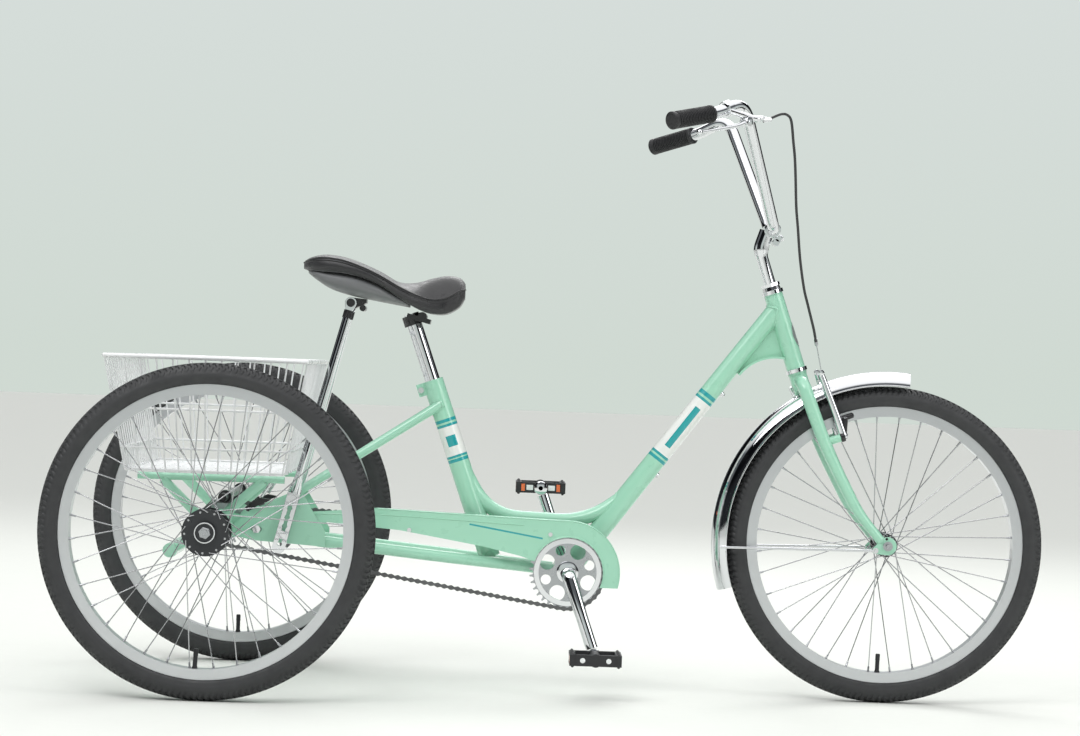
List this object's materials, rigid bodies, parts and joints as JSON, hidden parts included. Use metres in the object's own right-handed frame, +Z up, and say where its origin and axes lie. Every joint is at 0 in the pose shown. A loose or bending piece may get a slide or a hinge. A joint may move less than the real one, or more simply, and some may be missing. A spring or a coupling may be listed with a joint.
{
  "type": "adult tricycle",
  "caption": "Adult tricycle with a step-through frame, swept-back handlebar, sprung rim brake, strutted saddle, chain drive to one rear wheel and a rear wire basket.",
  "frame": {"origin": "on the ground, midway between the front and rear axles, on the middle plane", "axes": "+X forward, +Y to the rider's left, +Z up; the chain is on the right side"},
  "size_m": [1.85, 0.756, 1.1142],
  "materials": {
    "paint": "gloss mint green enamel",
    "bearing_steel": "plain steel",
    "chrome": "polished chrome plate",
    "black_paint": "black enamel",
    "white_wire": "white coated wire",
    "chain_steel": "dark oiled steel",
    "grip_rubber": "ribbed soft rubber",
    "cast_aluminium": "satin alloy",
    "tyre_rubber": "moulded rubber with a block tread",
    "pedal_plastic": "moulded plastic",
    "saddle_cover": "matte vinyl cover over foam",
    "pan_plastic": "grey moulded plastic"
  },
  "bodies": {
    "frame": {"head_tube": "paint", "down_tube": "paint", "curved_tube": "paint", "seat_tube": "paint", "head_gusset": "paint", "bottom_bracket_shell": "paint", "chainstays": "paint", "seat_stays": "paint", "axle_plates": "paint", "axle_housings": "paint", "frame_bearings": "bearing_steel", "frame_bolts": "chrome", "basket_struts": "paint", "rear_cross_tube": "paint", "brace_bar": "black_paint", "basket_rim": "white_wire", "basket_wires": "white_wire", "chainguard": "paint", "bearing_cups": "chrome", "chain": "chain_steel"},
    "steering": {"steerer_tube": "bearing_steel", "fork_crown": "paint", "fork_blades": "paint", "headset_locknut": "chrome", "stem": "chrome", "stem_bolts": "bearing_steel", "handlebar": "chrome", "grips": "grip_rubber", "brake_lever_body": "cast_aluminium", "brake_cable": "grip_rubber", "front_fender": "chrome", "fender_stays": "chrome", "front_axle": "bearing_steel"},
    "front_wheel": {"front_tyre": "tyre_rubber", "front_rim": "cast_aluminium", "front_spokes": "bearing_steel", "front_hub": "black_paint"},
    "drive_axle": {"rear_axle": "bearing_steel", "rear_sprocket": "bearing_steel", "left_tyre": "tyre_rubber", "left_rim": "cast_aluminium", "left_spokes": "bearing_steel", "left_hub": "black_paint"},
    "right_wheel": {"right_tyre": "tyre_rubber", "right_rim": "cast_aluminium", "right_spokes": "bearing_steel", "right_hub": "black_paint"},
    "crank": {"crank_arms": "chrome", "chainring": "chrome"},
    "right_pedal": {"pedal_right": "pedal_plastic"},
    "left_pedal": {"pedal_left": "pedal_plastic"},
    "brake_lever": {"brake_lever_blade": "cast_aluminium"},
    "right_brake_arm": {"brake_arm_right": "cast_aluminium"},
    "left_brake_arm": {"brake_arm_left": "cast_aluminium"},
    "saddle": {"seat_post": "chrome", "saddle_cushion": "saddle_cover", "saddle_pan": "pan_plastic", "saddle_base": "black_paint"},
    "strut_clamps": {"strut_bolts": "chrome"},
    "struts": {"rear_struts": "chrome"}
  },
  "joints": [
    {"name": "steering", "type": "hinge", "parent": "frame", "child": "steering", "pos_m": [0.4455, 0, 0.628], "axis": [-0.3272, 0, 0.9449], "range_deg": [-60, 60]},
    {"name": "front_wheel_spin", "type": "hinge", "parent": "steering", "child": "front_wheel", "pos_m": [0.625, 0, 0.3], "axis": [0, 1, 0], "continuous": true},
    {"name": "drive_axle_spin", "type": "hinge", "parent": "frame", "child": "drive_axle", "pos_m": [-0.625, 0, 0.3], "axis": [0, 1, 0], "continuous": true},
    {"name": "right_wheel_spin", "type": "hinge", "parent": "frame", "child": "right_wheel", "pos_m": [-0.625, -0.335, 0.3], "axis": [0, 1, 0], "continuous": true},
    {"name": "crank_spin", "type": "hinge", "parent": "frame", "child": "crank", "pos_m": [0.025, 0, 0.229], "axis": [0, 1, 0], "continuous": true, "deforming": ["chain"]},
    {"name": "right_pedal_spin", "type": "hinge", "parent": "crank", "child": "right_pedal", "pos_m": [0.0792, -0.14, 0.07846], "axis": [0, 1, 0], "continuous": true},
    {"name": "left_pedal_spin", "type": "hinge", "parent": "crank", "child": "left_pedal", "pos_m": [-0.0292, 0.14, 0.37954], "axis": [0, 1, 0], "continuous": true},
    {"name": "brake_lever_pull", "type": "hinge", "parent": "steering", "child": "brake_lever", "pos_m": [0.316, -0.219, 1.073], "axis": [-0.6601, 0.7512, 0], "range_deg": [0, 10], "stiffness_Nm_per_rad": 1, "deforming": ["brake_cable"]},
    {"name": "right_brake_close", "type": "hinge", "parent": "steering", "child": "right_brake_arm", "pos_m": [0.534, -0.046, 0.502], "axis": [-0.9449, 0, -0.3272], "range_deg": [0, 3.3], "stiffness_Nm_per_rad": 0.5},
    {"name": "left_brake_close", "type": "hinge", "parent": "steering", "child": "left_brake_arm", "pos_m": [0.534, 0.046, 0.502], "axis": [0.9449, 0, 0.3272], "range_deg": [0, 3.3], "stiffness_Nm_per_rad": 0.5},
    {"name": "saddle_height", "type": "slide", "parent": "frame", "child": "saddle", "axis": [-0.342, 0, 0.9397], "range_m": [-0.008, 0.02]},
    {"name": "strut_swing", "type": "hinge", "parent": "frame", "child": "strut_clamps", "pos_m": [-0.511, 0, 0.283], "axis": [0, -1, 0], "range_deg": [-0.7, 1.6]},
    {"name": "strut_extend", "type": "slide", "parent": "strut_clamps", "child": "struts", "axis": [0.2436, 0, 0.9699], "range_m": [-0.0075, 0.0175]}
  ],
  "couplings": [
    {"joint": "crank_spin", "follows": "drive_axle_spin", "ratio": 0.58823},
    {"joint": "right_brake_close", "follows": "brake_lever_pull", "ratio": 0.32},
    {"joint": "left_brake_close", "follows": "brake_lever_pull", "ratio": 0.32},
    {"joint": "strut_swing", "follows": "saddle_height", "rad_per_m": 1.2414},
    {"joint": "strut_extend", "follows": "saddle_height", "ratio": 0.8281}
  ]
}
